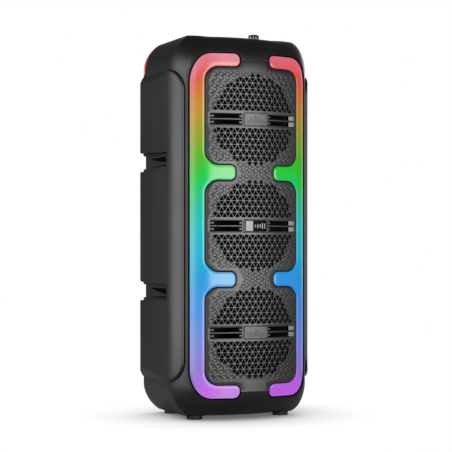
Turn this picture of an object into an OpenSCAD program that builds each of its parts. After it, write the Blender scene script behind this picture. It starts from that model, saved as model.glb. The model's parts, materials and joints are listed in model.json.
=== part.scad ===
// Tall battery party speaker.
// Three drivers fire through a moulded lattice panel that is framed by two E-shaped
// light diffusers. The sides carry raised panels with grip notches, the top carries
// a volume knob and push buttons, and the back carries sockets, a carry grip and a port.
// Millimetres, +Z up, front at -Y, feet on Z = 0.

/* [Cabinet] */
// Height of the top face above the floor
top_z = 520; // [300:5:900]
// Gap between floor and cabinet
foot_h = 4.5; // [3:0.5:12]
// Half width of the cabinet sides
half_w = 101.5; // [70:0.5:160]
// Position of the flat back face
back_y = 79; // [50:1:140]
// Radius of the bowed front in plan
front_r = 195.7; // [120:1:400]
// Distance from the bow's centre line to the cabinet's centre line
front_c = 118.5; // [60:0.5:250]
// Radius of the front corners in plan
corner_r = 60; // [20:1:80]
// Radius of the side arcs seen from the front
arc_r = 52; // [30:1:80]
// Height over which the side arcs run
arc_h = 44; // [20:1:60]
// Radius of the rounding along the top and bottom of the front
edge_r = 44; // [10:1:60]
// Radius of the upright back edges
back_edge_r = 3; // [2:0.5:15]
// Wall thickness
wall = 3; // [2:0.5:5]
// Parting line between front and rear housing
part_y = -18; // [-40:1:20]

/* [Front face] */
// Half height of the diffusers' outline
lens_h = 230.8; // [150:1:300]
// Half width of the diffusers' outline
lens_w = 86.7; // [60:0.5:120]
// Half width of the lattice panel's lobes
lobe_w = 68.3; // [50:0.5:100]
// Half width of the neck between the middle tongues
neck_w = 27.7; // [15:0.5:50]
// Half width of the neck at top and bottom
neck_end_w = 21.7; // [10:0.5:40]
// Height of the end tongues
end_tongue_h = 18.1; // [8:0.5:30]
// Height of the middle tongues
mid_tongue_h = 20.7; // [8:0.5:30]
// Rounding of the tongue tips
tip_r = 7.5; // [2:0.5:9]
// Rounding of the lobes' corners
lobe_r = 18; // [5:1:30]
// Dark gap round each diffuser
lens_gap = 0.5; // [0.2:0.1:1.5]
// Distance between driver centres
pitch = 142.8; // [100:1:200]
// Radius of each open lattice field
field_r = 61; // [40:1:80]
// Spacing of the CAD lattice
lattice = 18.6; // [8:0.2:30]
// Rib width of the CAD lattice
rib = 2.4; // [1:0.2:5]

/* [Sides] */
// How far the rear side panel stands out
panel_out = 5; // [2:0.5:10]
// How far the front rail stands out
rail_out = 3.6; // [1:0.2:8]
// Half height of rail and panel
panel_h = 210.5; // [100:1:240]
// Front edge of the rail
rail_y = -48.4; // [-60:1:-30]
// Height of the notches' centres from the middle
notch_z = 90; // [40:1:150]
// Height of a notch at the back edge
notch_h = 26; // [15:1:40]
// Depth of a notch below the panel
notch_in = 4.2; // [1:0.2:8]

/* [Controls and back] */
// Radius of the volume knob
knob_r = 7.6; // [5:0.1:20]
// Height of the volume knob
knob_h = 9.7; // [5:0.1:20]
// Push button radius
button_r = 6; // [4:0.5:10]
// Inner radius of the bass port
port_r = 23; // [15:1:35]
// Foot radius
foot_r = 11.5; // [8:0.5:20]

/* [Hidden] */
$fn = 96;
e = 0.01;
mid_z = (top_z + foot_h) / 2;
face_z = mid_z - 0.4;
cab_h = top_z - foot_h;
flat_z = cab_h / 2 - arc_h;
corner_x = half_w - corner_r;
corner_y = -10.7;
arc_x = half_w - arc_r;
out_r = 48;
out_x = lens_w - out_r;
out_z = 190;
soft_r = 10;
soft_x = 61;
soft_z = lens_h - soft_r;
board_y = -60;
board_t = 5;
rim_y = board_y + board_t;
knob_x = 34.5;
knob_y = 2;
panel_y = 18;
drivers = [1, 0, -1];
charcoal = [0.09, 0.09, 0.095];
grey = [0.2, 0.2, 0.21];
metal = [0.6, 0.6, 0.62];
paper = [0.07, 0.07, 0.075];
green = [0.05, 0.25, 0.12];

// ---- cabinet envelope, inset by t ----

module disc(x, y, r) {
    translate([x, y]) circle(r);
}

module rect(w, h) {
    square([w, h], center = true);
}

module front_outline(t) {
    intersection() {
        rect(2 * (half_w - t), cab_h - 2 * t);
        union() {
            rect(2 * half_w, 2 * flat_z);
            rect(2 * arc_x, cab_h);
            for (sx = [-1, 1], sz = [-1, 1]) disc(sx * arc_x, sz * flat_z, arc_r - t);
        }
    }
}

module plan_outline(t) {
    contact = asin(corner_x / (front_r - corner_r));
    reach = front_r + 25;
    round_r = max(back_edge_r - t, 0.5);
    union() {
        intersection() {
            disc(0, front_c, front_r - t);
            polygon([[-front_c * tan(contact), 0],
                [-reach * sin(contact), front_c - reach * cos(contact)],
                [reach * sin(contact), front_c - reach * cos(contact)],
                [front_c * tan(contact), 0]]);
        }
        for (sx = [-1, 1]) disc(sx * corner_x, corner_y, corner_r - t);
        translate([0, (corner_y + back_y - t - round_r) / 2])
            rect(2 * (half_w - t), back_y - t - round_r - corner_y);
        translate([0, (back_y - t) / 2]) rect(2 * (half_w - t - round_r), back_y - t);
        for (sx = [-1, 1])
            disc(sx * (half_w - t - round_r), back_y - t - round_r, round_r);
        translate([0, -30]) rect(2 * corner_x, 60);
    }
}

module bow_profile(t) {
    intersection() {
        translate([0, -cab_h]) square([front_r + 50, 2 * cab_h]);
        union() {
            rect(2 * (front_r - edge_r), cab_h - 2 * t);
            rect(2 * (front_r - t), cab_h - 2 * edge_r);
            for (sz = [-1, 1]) disc(front_r - edge_r, sz * (cab_h / 2 - edge_r), edge_r - t);
        }
    }
}

module body(t) {
    intersection() {
        translate([0, 150, mid_z]) rotate([90, 0, 0])
            linear_extrude(height = 300) front_outline(t);
        linear_extrude(height = 600) plan_outline(t);
        translate([0, front_c, mid_z]) rotate_extrude() bow_profile(t);
    }
}

// The space behind the parting line, where the bow's rounded ends have run out
module rear_void(t) {
    intersection() {
        translate([0, 150, mid_z]) rotate([90, 0, 0])
            linear_extrude(height = 300) front_outline(t);
        linear_extrude(height = 600) plan_outline(t);
    }
}

// A full-height body whose ends are not rounded, for parts that stand on the sides
module side_body(t) {
    translate([0, 0, mid_z - panel_h - 20])
        linear_extrude(height = 2 * panel_h + 40) plan_outline(t);
}

module slab_y(y0, y1) {
    translate([-200, y0, -50]) cube([400, y1 - y0, 650]);
}

module from_front(y0, y1) {
    translate([0, y1, face_z]) rotate([90, 0, 0]) linear_extrude(height = y1 - y0) children();
}

// ---- front face regions, drawn as seen from the front ----

module lens_outline(g) {
    lean = atan2(soft_z - out_z, soft_x - out_x);
    far = 3 * out_r;
    union() {
        rect(2 * (lens_w + g), 2 * out_z);
        rect(2 * soft_x, 2 * (lens_h + g));
        for (sx = [-1, 1], sz = [-1, 1]) scale([sx, sz]) {
            disc(soft_x, soft_z, soft_r + g);
            intersection() {
                disc(out_x, out_z, out_r + g);
                polygon([[out_x, out_z], [out_x + far, out_z],
                    [out_x + far * cos(lean), out_z + far * sin(lean)]]);
            }
        }
    }
}

module tongue(x0, z0, z1, r) {
    union() {
        translate([x0 + r, z0]) square([lobe_w + 5 - x0 - r, z1 - z0]);
        translate([x0, z0 + r]) square([r, z1 - z0 - 2 * r]);
        disc(x0 + r, z0 + r, r);
        disc(x0 + r, z1 - r, r);
    }
}

module web(x, z, sz, r) {
    translate([x, z]) scale([-1, sz]) translate([-1, -1]) difference() {
        square([r + 1, r + 1]);
        disc(r + 1, r + 1, r);
    }
}

module e_shape(g) {
    mid_a = pitch / 2 - mid_tongue_h / 2;
    mid_b = pitch / 2 + mid_tongue_h / 2;
    end_a = lens_h - end_tongue_h;
    x = lobe_w - g;
    r = lobe_r - g;
    intersection() {
        lens_outline(g);
        union() {
            translate([x, -300]) square([60, 600]);
            for (sz = [-1, 1]) scale([1, sz]) {
                tongue(neck_w - g, mid_a - g, mid_b + g, tip_r + g);
                tongue(neck_end_w - g, end_a - g, lens_h + g, tip_r + g);
                web(x, mid_a - g, -1, r);
                web(x, mid_b + g, 1, r);
                web(x, end_a - g, -1, r);
            }
        }
    }
}

module both_e(g) {
    e_shape(g);
    scale([-1, 1]) e_shape(g);
}

module panel_region() {
    end_a = lens_h - end_tongue_h / 2;
    difference() {
        union() {
            rect(2 * lobe_w, 2 * (lens_h - end_tongue_h));
            rect(2 * (neck_end_w + tip_r), 2 * end_a);
        }
        both_e(lens_gap);
    }
}

module ribs() {
    count = ceil(field_r / (lattice * sqrt(3) / 2));
    for (a = [0, 60, 120], i = [-count:count])
        rotate(a) translate([0, i * lattice * sqrt(3) / 2]) rect(2 * field_r + 12, rib);
}

module slots() {
    for (sx = [-1, 1], sz = [-1, 1]) translate([sx * 41, sz * 3.7]) rect(43, 5);
}

module open_fields() {
    for (i = drivers) translate([0, i * pitch]) {
        difference() {
            circle(field_r);
            ribs();
            rect(2 * field_r, 17);
        }
        slots();
    }
}

// ---- housings ----

module front_housing() {
    color(charcoal) difference() {
        union() {
            difference() {
                intersection() {
                    body(0);
                    slab_y(-100, part_y);
                }
                body(wall);
            }
            // locating lip inside the rear housing
            difference() {
                intersection() {
                    body(wall + 0.15);
                    slab_y(part_y - 6, part_y + 5);
                }
                body(wall + 2);
            }
            difference() {
                intersection() {
                    body(wall - 0.5);
                    slab_y(part_y - 6, part_y - e);
                }
                body(wall + 2);
            }
        }
        from_front(-100, -20) both_e(lens_gap);
        from_front(-100, -20) panel_region();
    }
}

module notch_cut(sx) {
    front = part_y + 9;
    for (s = [-1, 1])
        translate([sx * (half_w - notch_in + 20), (front + 90) / 2, mid_z + s * notch_z])
            cube([40, 90 - front, notch_h - 8], center = true);
}

module grip_cut() {
    translate([0, 65, 458]) cube([104, 40, 30], center = true);
}

module rear_housing() {
    color(charcoal) difference() {
        union() {
            difference() {
                intersection() {
                    body(0);
                    slab_y(part_y, 100);
                }
                rear_void(wall);
            }
            // pockets behind the side notches
            intersection() {
                body(1);
                for (sx = [-1, 1], s = [-1, 1])
                    translate([sx * (half_w - 4), (part_y + 5.5 + back_y) / 2, mid_z + s * notch_z])
                        cube([8, back_y - part_y - 5.5, notch_h], center = true);
            }
            // grip cup
            translate([0, 59.5, 458]) cube([110, 36, 36], center = true);
        }
        notch_cut(1);
        notch_cut(-1);
        grip_cut();
        // recess and opening under the control plate
        translate([0, panel_y, top_z]) cube([112, 56, 4], center = true);
        translate([0, panel_y, top_z]) cube([102, 47.6, 12], center = true);
        // recess and opening under the socket plate
        translate([0, back_y, 375]) cube([126, 3.2, 66], center = true);
        translate([0, back_y, 375]) cube([116, 12, 56], center = true);
        // bass port hole
        translate([0, back_y - 10, 192]) rotate([-90, 0, 0]) cylinder(r = port_r + 4.2, h = 20);
        // screw counterbores
        for (sx = [-1, 1], z = [40, 150, 262, 375, 485])
            translate([sx * 84, back_y - 2, z]) rotate([-90, 0, 0]) cylinder(r = 4.2, h = 5);
        // slim light strips in the upper back edges
        light_band(1, 2, 1.9, 0.1);
        light_band(-1, 2, 1.9, 0.1);
    }
}

module light_band(sx, out, in, t) {
    intersection() {
        difference() {
            body(-out);
            body(in);
        }
        translate([sx * (half_w - 10), back_y - 4.5, 494]) cube([28, 3 + 2 * t, 36 + 2 * t], center = true);
    }
}

module rear_light(sx) {
    color([0.95, 0.5, 0.2]) light_band(sx, 0.4, 1.8, 0);
}

module rail(sx) {
    low = part_y - 0.2 - rail_y;
    color(grey) intersection() {
        difference() {
            side_body(-rail_out);
            side_body(0);
        }
        translate([sx * 150 - 100, 0, mid_z]) rotate([90, 0, 90]) linear_extrude(height = 200)
            intersection() {
                translate([rail_y, -panel_h]) square([low, 2 * panel_h]);
                union() {
                    translate([rail_y, -panel_h + low]) square([low, 2 * (panel_h - low)]);
                    for (sz = [-1, 1]) disc(rail_y + low, sz * (panel_h - low), low);
                }
            }
    }
}

// Front view over both side panels, their ends bevelled
module panel_front_view() {
    end_x = half_w + 0.6;
    full_x = half_w + panel_out + 1;
    bevel_h = 9;
    polygon([[-end_x, -panel_h], [end_x, -panel_h], [full_x, -panel_h + bevel_h],
        [full_x, panel_h - bevel_h], [end_x, panel_h], [-end_x, panel_h],
        [-full_x, panel_h - bevel_h], [-full_x, -panel_h + bevel_h]]);
}

module side_panel(sx) {
    color(charcoal) difference() {
        intersection() {
            difference() {
                union() {
                    side_body(-panel_out);
                    translate([sx * half_w, 40, mid_z])
                        cube([2 * panel_out, 90, 2 * panel_h + 20], center = true);
                }
                side_body(0);
            }
            translate([sx * 150 - 100, 0, mid_z]) rotate([90, 0, 90])
                linear_extrude(height = 200) polygon([[part_y + 0.2, -panel_h],
                    [back_y - 4, -panel_h], [back_y - 0.6, -panel_h + 4],
                    [back_y - 0.6, panel_h - 4], [back_y - 4, panel_h],
                    [part_y + 0.2, panel_h]]);
            translate([0, 150, mid_z]) rotate([90, 0, 0]) linear_extrude(height = 300)
                panel_front_view();
        }
        for (s = [-1, 1]) translate([sx * (half_w + 20), 0, mid_z + s * notch_z])
            rotate([90, 0, 90]) translate([0, 0, -30]) linear_extrude(height = 60)
                polygon([[part_y + 4, -10], [100, -notch_h / 2], [100, notch_h / 2], [part_y + 4, 10]]);
    }
}

// ---- front face parts ----

module lens(sx) {
    color([0.9, 0.9, 0.95, 0.6]) intersection() {
        difference() {
            body(-0.5);
            body(wall);
        }
        from_front(-100, -20) scale([sx, 1]) e_shape(0);
    }
}

module light_board(sx) {
    color([0.9, 0.9, 0.9]) translate([sx * 72.4, -50.2, face_z]) rotate([0, 0, sx * 38]) {
        cube([9, 1.6, 420], center = true);
        for (i = [-9:9]) translate([0, -1.6 / 2 - 0.8, i * 22.5]) cube([5, 1.6, 5], center = true);
    }
}

module grille() {
    color(grey) union() {
        difference() {
            intersection() {
                body(0);
                from_front(-100, -40) panel_region();
            }
            body(wall);
            from_front(-100, -40) open_fields();
        }
        // posts that carry the driver board
        intersection() {
            body(wall - 0.5);
            for (i = drivers, sx = [-1, 1], sz = [-1, 1])
                translate([sx * 50, -80, face_z + i * pitch + sz * 52]) rotate([-90, 0, 0])
                    cylinder(r = 3.5, h = 80 + board_y);
        }
    }
}

module badge(i, out) {
    y = front_c - front_r;
    color([0.25, 0.25, 0.26]) difference() {
        intersection() {
            body(-out);
            translate([0, y + 10, face_z + i * pitch]) rotate([90, 0, 0])
                linear_extrude(height = 20) union() {
                    rect(35, 14.4);
                    rect(31, 18.4);
                    for (a = [-1, 1], b = [-1, 1]) disc(a * 15.5, b * 7.2, 2);
                }
        }
        body(0);
    }
}

module badge_inlay() {
    color(metal) difference() {
        intersection() {
            body(-2.8);
            translate([0, front_c - front_r + 10, face_z]) rotate([90, 0, 0])
                linear_extrude(height = 20) translate([-8.6, 0]) rect(13, 13);
        }
        body(-2.3);
    }
}

module driver_board() {
    color([0.12, 0.12, 0.12]) difference() {
        translate([0, board_y + board_t / 2, face_z]) cube([136, board_t, 436], center = true);
        for (i = drivers) translate([0, board_y - 1, face_z + i * pitch]) rotate([-90, 0, 0])
            cylinder(r = 59.2, h = board_t + 2);
    }
}

// ---- drivers, each built round its own axis, front at -Z before turning ----

module at_driver(i) {
    translate([0, rim_y, face_z + i * pitch]) rotate([-90, 0, 0]) children();
}

module basket(i) {
    color([0.1, 0.1, 0.1]) at_driver(i) union() {
        difference() {
            rotate_extrude() polygon([[57, 0], [66.3, 0], [66.3, 2.4], [60.5, 2.4], [44, 34],
                [38, 43], [38, 46], [15, 46], [15, 43.4], [35.5, 43.4], [40, 34.6], [36, 34.6],
                [36, 33.2], [41.6, 33.2], [57, 3.4]]);
            for (a = [0:60:300]) rotate(a + 30) translate([50, 0, 18]) cube([30, 22, 24], center = true);
            for (a = [45:90:315]) rotate(a) translate([63, 0, -1]) cylinder(r = 1.8, h = 5);
        }
    }
}

module magnet(i) {
    color(metal) at_driver(i) rotate_extrude() union() {
        translate([14.2, 46]) square([20.8, 5]);
        translate([18, 51]) square([19, 15]);
        translate([3, 66]) square([31, 5]);
        translate([3, 45]) square([9, 21 + e]);
    }
}

module cone(i) {
    color(paper) at_driver(i) rotate_extrude() union() {
        polygon([[50.4, -1.2], [50.4, -0.4], [16.8, 25.4], [13.4, 25.4], [13.4, 24.4], [16.2, 24.4],
            [49, -1.2]]);
        translate([12.7, 24.4]) square([0.7, 26]);
    }
}

module dust_cap(i) {
    color(paper) at_driver(i) rotate_extrude() intersection() {
        difference() {
            disc(0, 34.2, 22.6);
            disc(0, 34.2, 21.8);
        }
        square([19, 22]);
    }
}

module surround(i) {
    color([0.04, 0.04, 0.04]) at_driver(i) rotate_extrude() union() {
        intersection() {
            difference() {
                disc(54.6, -1.2, 4.2);
                disc(54.6, -1.2, 3.5);
            }
            translate([40, -10]) square([30, 8.8]);
        }
        translate([49.2, -1.9]) square([1.9, 0.7]);
        translate([58.1, -1.2 - e]) square([0.7, 0.7]);
        translate([57.2, -0.6]) square([1.9, 0.6]);
    }
}

module spider(i) {
    color([0.75, 0.6, 0.3]) at_driver(i) rotate_extrude() polygon([[13.5, 32.4], [17, 31.4],
        [20, 33], [23, 31.4], [26, 33], [29, 31.4], [32, 33], [35, 32.5], [39.8, 32.6], [39.8, 33.1],
        [35, 33], [32, 33.6], [29, 32], [26, 33.6], [23, 32], [20, 33.6], [17, 32], [13.5, 33]]);
}

// ---- top controls ----

module button_at(k) {
    translate([-42 + 18 * (k - 1), knob_y, 0]) children();
}

module control_plate() {
    color([0.05, 0.05, 0.055]) difference() {
        translate([0, panel_y, top_z - 0.9]) cube([111.4, 55.4, 2.2], center = true);
        translate([knob_x, knob_y, top_z - 5]) cylinder(r = 3.7, h = 10);
        for (k = [1:4]) button_at(k) translate([0, 0, top_z - 5]) cylinder(r = button_r + 0.3, h = 10);
        for (sx = [-1, 1]) translate([sx * 30, 38, top_z - 5]) cylinder(r = 1.2, h = 10);
    }
}

module volume_knob() {
    base = top_z + 0.9;
    color(metal) translate([knob_x, knob_y, 0]) union() {
        difference() {
            union() {
                translate([0, 0, base]) cylinder(r = knob_r, h = knob_h - 1);
                translate([0, 0, base + knob_h - 1]) cylinder(r1 = knob_r, r2 = knob_r - 1, h = 1);
            }
            for (a = [0:20:340]) rotate(a) translate([knob_r + 0.5, 0, base - 1])
                cylinder(r = 0.9, h = knob_h + 2);
            rotate(90) translate([5.4, 0, base + knob_h - 0.5]) cube([3, 0.8, 2], center = true);
        }
        translate([0, 0, top_z - 9]) cylinder(r = 3, h = 9.9 + e);
    }
}

module encoder() {
    color(metal) translate([knob_x, knob_y, 0]) difference() {
        union() {
            translate([0, 0, top_z - 9.4]) cube([12, 12, 6], center = true);
            translate([0, 0, top_z - 7]) cylinder(r = 3.6, h = 6.6);
        }
        translate([0, 0, top_z - 9.1]) cylinder(r = 3.05, h = 12);
    }
}

module control_board() {
    color(green) union() {
        translate([0, panel_y, top_z - 13.2]) cube([98, 42, 1.6], center = true);
        for (k = [1:4]) button_at(k) translate([0, 0, top_z - 10.7 - e]) cube([6, 6, 3.4], center = true);
        for (sx = [-1, 1]) translate([sx * 46, panel_y + 12, top_z - 12.4 - e])
            cylinder(r = 3, h = 10.4 + e);
    }
}

module button(k) {
    color([0.16, 0.16, 0.17]) button_at(k) union() {
        translate([0, 0, top_z - 7]) cylinder(r = button_r, h = 7.6);
        translate([0, 0, top_z + 0.6 - e]) cylinder(r1 = button_r, r2 = button_r - 0.5, h = 0.5);
        translate([0, 0, top_z - 3.7]) cylinder(r = button_r + 1.3, h = 1.6);
        translate([0, 0, top_z - 7.8]) cylinder(r = 1.5, h = 1);
    }
}

// ---- inside and back ----

module amp_board() {
    color(green) union() {
        translate([18, 60, 375]) cube([76, 1.6, 80], center = true);
        translate([18, 53.1 + e, 392]) cube([56, 12.2, 26], center = true);
        for (x = [-8, 6, 20]) translate([x, 59.2 + e, 350]) rotate([90, 0, 0]) cylinder(r = 5, h = 14);
        for (sx = [-1, 1]) translate([18 + sx * 34, 60.8 - e, 410.5]) rotate([-90, 0, 0])
            cylinder(r = 2.2, h = back_y - wall - 60.8 + e);
    }
}

module battery_pack() {
    color([0.15, 0.3, 0.55]) translate([0, 48, 30]) cube([134, 40, 44], center = true);
}

module battery_strap() {
    color(charcoal) difference() {
        union() {
            translate([0, 48, 30.5]) cube([24, 43, 46], center = true);
            translate([0, 47, foot_h + wall + 0.6]) cube([24, 56, 1.2], center = true);
        }
        translate([0, 48, 0]) cube([40, 40, 104], center = true);
    }
}

module bass_port() {
    color(charcoal) translate([0, 0, 192]) rotate([-90, 0, 0]) rotate_extrude() polygon([
        [port_r, 24], [port_r + 2, 24], [port_r + 2, 72], [port_r + 4, 74], [port_r + 4, back_y],
        [port_r + 7, back_y], [port_r + 7, back_y + 0.4], [port_r + 5, back_y + 1],
        [port_r + 3.4, back_y + 1], [port_r + 1.2, back_y - 2], [port_r, 70]]);
}

module socket_plate() {
    color([0.05, 0.05, 0.055]) difference() {
        translate([0, back_y - 0.85, 375]) cube([125.4, 1.5, 65.4], center = true);
        translate([34, back_y, 375]) cube([18.6, 10, 13.8], center = true);
        translate([-2, back_y - 6, 375]) rotate([-90, 0, 0]) cylinder(r = 4.6, h = 12);
        translate([-44, back_y - 6, 388]) rotate([-90, 0, 0]) cylinder(r = 6.1, h = 12);
        translate([-44, back_y - 6, 360]) rotate([-90, 0, 0]) cylinder(r = 4.1, h = 12);
    }
}

module power_rocker() {
    color([0.5, 0.03, 0.03]) translate([34, back_y - 6.4, 375]) union() {
        intersection() {
            translate([0, 0, -6.6]) cylinder(r = 9.3, h = 13.2);
            translate([0, 0, -10]) linear_extrude(height = 20)
                polygon([[-12, -3], [12, -3], [12, 8.4], [0, 6.8], [-12, 8.4]]);
        }
        translate([0, 0, -8.4]) cylinder(r = 1.3, h = 16.8);
    }
}

module switch_body() {
    color([0.04, 0.04, 0.04]) difference() {
        translate([34, back_y - 8.9, 375]) cube([23, 14.4, 18.4], center = true);
        translate([34, back_y - 6.6, 375]) cube([19.2, 12, 13.8], center = true);
        translate([34, back_y - 6.4, 375 - 8.6]) cylinder(r = 1.35, h = 17.2);
    }
}

module jack(x, z, r, bore, len) {
    translate([x, back_y - len + 0.2, z]) rotate([-90, 0, 0]) difference() {
        union() {
            cylinder(r = r, h = len - 0.4);
            translate([0, 0, (len - 3) / 2]) cube([2 * r + 2.4, 2 * r + 2.4, len - 3.2], center = true);
        }
        translate([0, 0, 2]) cylinder(r = bore, h = len);
    }
}

module mic_jack() {
    color([0.05, 0.05, 0.05]) jack(-44, 388, 6, 3.25, 27);
}

module aux_jack() {
    color([0.05, 0.05, 0.05]) jack(-44, 360, 4, 1.8, 17);
}

module charge_inlet() {
    color([0.05, 0.05, 0.05]) union() {
        jack(-2, 375, 4.5, 3.1, 14);
        translate([-2, back_y - 12, 375]) rotate([-90, 0, 0]) cylinder(r = 1, h = 9.5);
    }
}

module foot(sx, y) {
    color([0.03, 0.03, 0.03]) difference() {
        translate([sx * 65, y, 0]) cylinder(r1 = foot_r - 0.9, r2 = foot_r, h = 9);
        body(0);
    }
}

module housing_screws() {
    color(metal) for (sx = [-1, 1], z = [40, 150, 262, 375, 485])
        translate([sx * 84, 0, z]) rotate([-90, 0, 0]) difference() {
            translate([0, 0, back_y - 2]) cylinder(r = 3.4, h = 1.7);
            translate([0, 0, back_y - 1.2]) cube([4, 0.9, 3], center = true);
            translate([0, 0, back_y - 1.2]) cube([0.9, 4, 3], center = true);
        }
}

front_housing();
rear_housing();
rail(-1);  // rail_left
rail(1);  // rail_right
side_panel(-1);  // side_panel_left
side_panel(1);  // side_panel_right
lens(-1);  // lens_left
lens(1);  // lens_right
light_board(-1);  // light_board_left
light_board(1);  // light_board_right
grille();
badge(1, 2.2);  // badge_top
badge(0, 2.3);  // badge_mid
badge_inlay();  // badge_mid_inlay
badge(-1, 2.2);  // badge_low
driver_board();
basket(1);  // basket_1
basket(0);  // basket_2
basket(-1);  // basket_3
magnet(1);  // magnet_1
magnet(0);  // magnet_2
magnet(-1);  // magnet_3
cone(1);  // cone_1
cone(0);  // cone_2
cone(-1);  // cone_3
dust_cap(1);  // dust_cap_1
dust_cap(0);  // dust_cap_2
dust_cap(-1);  // dust_cap_3
surround(1);  // surround_1
surround(0);  // surround_2
surround(-1);  // surround_3
spider(1);  // spider_1
spider(0);  // spider_2
spider(-1);  // spider_3
control_plate();
volume_knob();
encoder();
control_board();
button(1);  // button_1
button(2);  // button_2
button(3);  // button_3
button(4);  // button_4
amp_board();
battery_pack();
battery_strap();
bass_port();
socket_plate();
power_rocker();
switch_body();
charge_inlet();
mic_jack();
aux_jack();
rear_light(-1);  // rear_light_left
rear_light(1);  // rear_light_right
foot(-1, -20);  // foot_front_left
foot(1, -20);  // foot_front_right
foot(-1, 60);  // foot_rear_left
foot(1, 60);  // foot_rear_right
housing_screws();
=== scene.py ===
"""The visual model of a tall party speaker with two glowing side diffusers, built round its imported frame."""
import itertools
import json
import math

import bmesh
import bpy
import numpy as np
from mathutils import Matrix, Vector
from mathutils.geometry import delaunay_2d_cdt


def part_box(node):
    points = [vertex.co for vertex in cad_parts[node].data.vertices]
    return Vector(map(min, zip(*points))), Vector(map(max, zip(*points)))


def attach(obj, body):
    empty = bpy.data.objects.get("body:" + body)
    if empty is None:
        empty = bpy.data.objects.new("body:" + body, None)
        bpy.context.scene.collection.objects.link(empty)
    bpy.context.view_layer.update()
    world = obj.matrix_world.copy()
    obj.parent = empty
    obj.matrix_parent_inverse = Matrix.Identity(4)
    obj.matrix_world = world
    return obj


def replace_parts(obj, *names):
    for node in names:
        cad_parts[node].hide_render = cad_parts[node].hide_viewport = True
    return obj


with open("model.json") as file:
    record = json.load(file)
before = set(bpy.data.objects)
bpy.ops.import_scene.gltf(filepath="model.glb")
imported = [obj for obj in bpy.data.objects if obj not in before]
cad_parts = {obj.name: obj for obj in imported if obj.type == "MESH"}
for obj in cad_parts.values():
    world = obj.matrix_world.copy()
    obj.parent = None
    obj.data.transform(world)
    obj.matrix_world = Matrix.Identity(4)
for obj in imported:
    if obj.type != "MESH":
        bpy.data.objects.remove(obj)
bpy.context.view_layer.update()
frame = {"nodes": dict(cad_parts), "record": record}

# ---- driving dimensions, in millimetres unless a name says otherwise ----

MM = 0.001
CABINET = "cabinet"


def box_mm(node):
    low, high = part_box(node)
    return low / MM, high / MM


front_low, front_high = box_mm("front_housing")
rear_high = box_mm("rear_housing")[1]
grille_low, grille_high = box_mm("grille")

HALF_W = rear_high.x
BACK_Y = rear_high.y
FRONT_Y = grille_low.y
MID_Z = (front_low.z + front_high.z) / 2
FACE_Z = (grille_low.z + grille_high.z) / 2
HALF_H = front_high.z - MID_Z

# The plan: one wide bow between two corner arcs that meet it tangentially
FRONT_R = 195.7
FRONT_C = FRONT_Y + FRONT_R
CORNER_R = 60.0
CORNER_X = HALF_W - CORNER_R
TURN = math.asin(CORNER_X / (FRONT_R - CORNER_R))
CORNER_Y = FRONT_C - (FRONT_R - CORNER_R) * math.cos(TURN)
BOW_S = FRONT_R * TURN
CORNER_S = BOW_S + CORNER_R * (math.pi / 2 - TURN)

# The bow's rounded top and bottom edges
EDGE_R = 44.0
FLAT_Z = HALF_H - EDGE_R
# The share of that rounding left where the corners reach the sides
SIDE_SHARE = 0.4
# The front view's corner arcs
ARC_R = 52.0
ARC_X = HALF_W - ARC_R
# The front housing's wall, and how far the rounding at its opening reaches
WALL = 2.5
OPENING_ROUND = 0.4

# The diffusers and the lattice panel between them, measured from the middle of the face:
# half sizes of the whole, of the panel's round lobes and of its necks between the tongues
LENS_H = 230.8
LENS_W = 86.7
LENS_EDGE = LENS_W - 1.5
LOBE_W = 68.3
LOBE_R = 18.0
NECK_W = 27.7
NECK_END_W = 21.7
# The tongues' heights and tip radius, and the distance from one driver to the next
MID_TONGUE_H = 20.7
END_TONGUE_H = 18.1
TIP_R = 7.5
PITCH = 142.8
DRIVERS = (-1, 0, 1)
# The large outer corners are superellipses from here outwards
CORNER_START_X = 57.0
CORNER_START_Z = 190.0
CORNER_POWER = 0.88
# The gap between diffusers and lattice panel, and how much more the housing's opening is cut back
LENS_GAP = 0.5
SEAT_GAP = 1.0
# How far a diffuser stays inside its outer edge, and how far out and how deep the near-black sheet lies that
# paints the shade in the gap round it
LENS_CLEAR = 0.3
GAP_SHADOW_OUT = 1.3
GAP_SHADOW_DEPTH = 0.8

# A diffuser's crown and thickness
CROWN_W = 5.0
CROWN_H = 1.8
LENS_T = 3.0
# How far up the inner edge's hue is ahead of the outer edge's, and the band in which it falls back
HUE_LEAD = 22.0
HUE_BAND = 20.0
# The glow's strength, its share left at the outer edge, and the gamma that darkens and deepens the right
# side's colours as painted shade
EMISSION = 0.92
EDGE_SHARE = 0.85
RIGHT_SHADE_GAMMA = 1.22
# How much painted sheen whitens the left diffuser's glow, from its outer edge to the middle of the face
SHEEN_STOPS = ((0.0, 0.0), (1.0, 0.0), (0.25, 0.0), (0.5, 0.16), (0.9, 0.16))

# The triangular lattice: nineteen rows from one driver to the next
ROWS_PER_DRIVER = 19
ROW = PITCH / ROWS_PER_DRIVER
SIDE = ROW * 2 / math.sqrt(3)
LAST_ROW = 27
PANEL_H = LENS_H - END_TONGUE_H / 2
PANEL_T = 3.0
# The seam between the panel's ends and the housing, and how clear of the panel's edge the cells keep
NECK_SEAM = 0.12
CELL_MARGIN = 1.6
# The fields of open cells round the drivers, and the parts that a cell's sides are cut in
FIELD_R = 60.0
CELL_CUTS = 4
# (rib beside the hole's corner, corner radius, depth) of each ring from a cell's edge inwards
OPEN_STEPS = ((0.7, 0.7, 0.0), (1.0, 0.6, 0.1), (1.2, 0.55, 0.5), (1.2, 0.55, PANEL_T))
BLIND_STEPS = ((0.7, 0.7, 0.0), (1.0, 0.6, 0.15), (1.2, 0.5, 1.1))
BLIND_MIDDLE = 1.7
# The slots beside the badges: from and to, across and up
SLOT_X0 = 19.5
SLOT_X1 = 62.5
SLOT_Z0 = 1.2
SLOT_Z1 = 7.0
SLOT_R = 0.8
# How far the rounding reaches at the slots' and the panel's edges
SLOT_ROUND = 0.6
PANEL_ROUND = 0.5
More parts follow.
